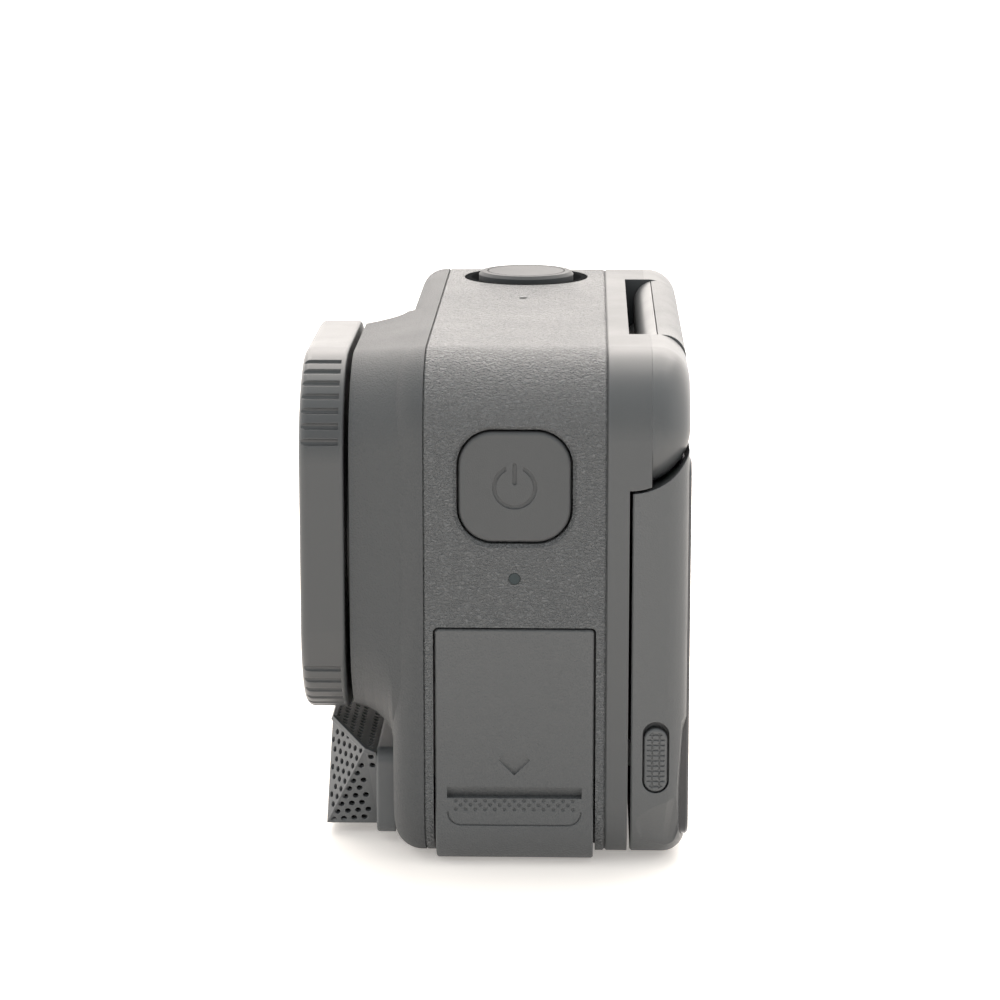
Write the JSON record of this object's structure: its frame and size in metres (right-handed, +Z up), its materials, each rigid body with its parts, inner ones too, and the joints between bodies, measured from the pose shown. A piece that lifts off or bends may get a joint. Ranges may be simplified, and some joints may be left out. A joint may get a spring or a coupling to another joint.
{
  "type": "action camera",
  "caption": "Compact action camera with a screen that flips over a top hinge, a square lens guard, a wind guard, sealed doors and press buttons.",
  "frame": {"origin": "on the flat underside, at the middle of the mounting plate, on the centre plane of the middle frame", "axes": "+X towards the side with the power button, -Y the way the lens looks, +Y the screen side, +Z up"},
  "size_m": [0.0718, 0.0387, 0.0522],
  "materials": {
    "frame_plastic": "coarse leather-like grain",
    "housing_plastic": "fine matte grain",
    "door_plastic": "fine grain",
    "guard_plastic": "satin",
    "wind_plastic": "perforated, matte",
    "button_plastic": "satin",
    "light_pipe": "translucent",
    "clear_glass": "coated",
    "dark_glass": "black backed glass",
    "display": "display module",
    "black_metal": "anodised black",
    "steel": "plain",
    "aluminium": "pressed",
    "board_green": "solder mask",
    "chip_black": "moulded",
    "foam": "open cell foam",
    "seal_rubber": "silicone",
    "battery_black": "moulded",
    "contact_gold": "plated",
    "magnet_nickel": "plated"
  },
  "bodies": {
    "camera": {"mid_frame": "frame_plastic", "front_housing": "housing_plastic", "rear_housing": "housing_plastic", "left_ear_cap": "housing_plastic", "right_ear_cap": "housing_plastic", "hinge_pins": "steel", "housing_screws": "steel", "lens_barrel": "black_metal", "front_lens": "clear_glass", "inner_lenses": "clear_glass", "lens_retainer": "black_metal", "image_sensor": "chip_black", "sensor_board": "board_green", "front_microphone": "steel", "front_window": "dark_glass", "front_display": "display", "shutter_ring": "button_plastic", "top_board": "board_green", "shutter_switch": "steel", "top_microphone": "steel", "power_switch": "steel", "button_board": "board_green", "status_light": "light_pipe", "port_bay": "housing_plastic", "usb_port": "steel", "battery_door_pin": "steel", "battery_sleeve": "battery_black", "battery_pack": "battery_black", "battery_contacts": "contact_gold", "card_socket": "steel", "memory_card": "chip_black", "main_board": "board_green", "board_chips": "chip_black", "heat_spreader": "aluminium", "speaker": "steel", "mount_plate": "button_plastic", "mount_screws": "steel", "mount_magnets": "magnet_nickel"},
    "screen": {"screen_frame": "housing_plastic", "hinge_cover": "housing_plastic", "screen_glass": "dark_glass", "screen_panel": "display"},
    "screen_latch": {"screen_latch": "button_plastic"},
    "shutter_button": {"shutter_button": "button_plastic"},
    "power_button": {"power_button": "button_plastic"},
    "usb_carrier": {"usb_carrier": "steel", "usb_hinge_pin": "steel"},
    "usb_door": {"usb_door": "door_plastic", "usb_door_seal": "seal_rubber"},
    "battery_door": {"battery_door": "door_plastic", "battery_door_seal": "seal_rubber"},
    "battery_latch": {"battery_latch": "button_plastic"},
    "lens_guard": {"lens_guard": "guard_plastic", "guard_glass": "clear_glass"},
    "wind_guard": {"wind_guard_frame": "wind_plastic", "wind_guard_cover": "wind_plastic", "wind_foam": "foam"}
  },
  "joints": [
    {"name": "screen_flip", "type": "hinge", "parent": "camera", "child": "screen", "pos_m": [0, 0.0147, 0.049], "axis": [1, 0, 0], "range_deg": [0, 180]},
    {"name": "screen_latch_slide", "type": "slide", "parent": "screen", "child": "screen_latch", "axis": [0, 0, 1], "range_m": [0, 0.0006], "stiffness_N_per_m": 300, "springref_m": -0.0006},
    {"name": "shutter_press", "type": "slide", "parent": "camera", "child": "shutter_button", "axis": [0, 0, -1], "range_m": [0, 0.0005], "stiffness_N_per_m": 600, "springref_m": -0.0006},
    {"name": "power_press", "type": "slide", "parent": "camera", "child": "power_button", "axis": [-1, 0, 0], "range_m": [0, 0.00045], "stiffness_N_per_m": 600, "springref_m": -0.0006},
    {"name": "usb_door_slide", "type": "slide", "parent": "camera", "child": "usb_carrier", "axis": [0, 0, -1], "range_m": [0, 0.0012]},
    {"name": "usb_door_swing", "type": "hinge", "parent": "usb_carrier", "child": "usb_door", "pos_m": [0.0319, 0, 0.004], "axis": [0, 1, 0], "range_deg": [0, 90]},
    {"name": "battery_door_swing", "type": "hinge", "parent": "camera", "child": "battery_door", "pos_m": [-0.035, 0, 0.0055], "axis": [0, -1, 0], "range_deg": [0, 100]},
    {"name": "battery_latch_slide", "type": "slide", "parent": "battery_door", "child": "battery_latch", "axis": [0, 0, -1], "range_m": [0, 0.0014]},
    {"name": "lens_guard_turn", "type": "hinge", "parent": "camera", "child": "lens_guard", "pos_m": [0.0154, 0, 0.0322], "axis": [0, 1, 0], "range_deg": [0, 10]},
    {"name": "wind_guard_pull", "type": "slide", "parent": "camera", "child": "wind_guard", "axis": [0, -1, 0], "range_m": [0, 0.008]}
  ]
}
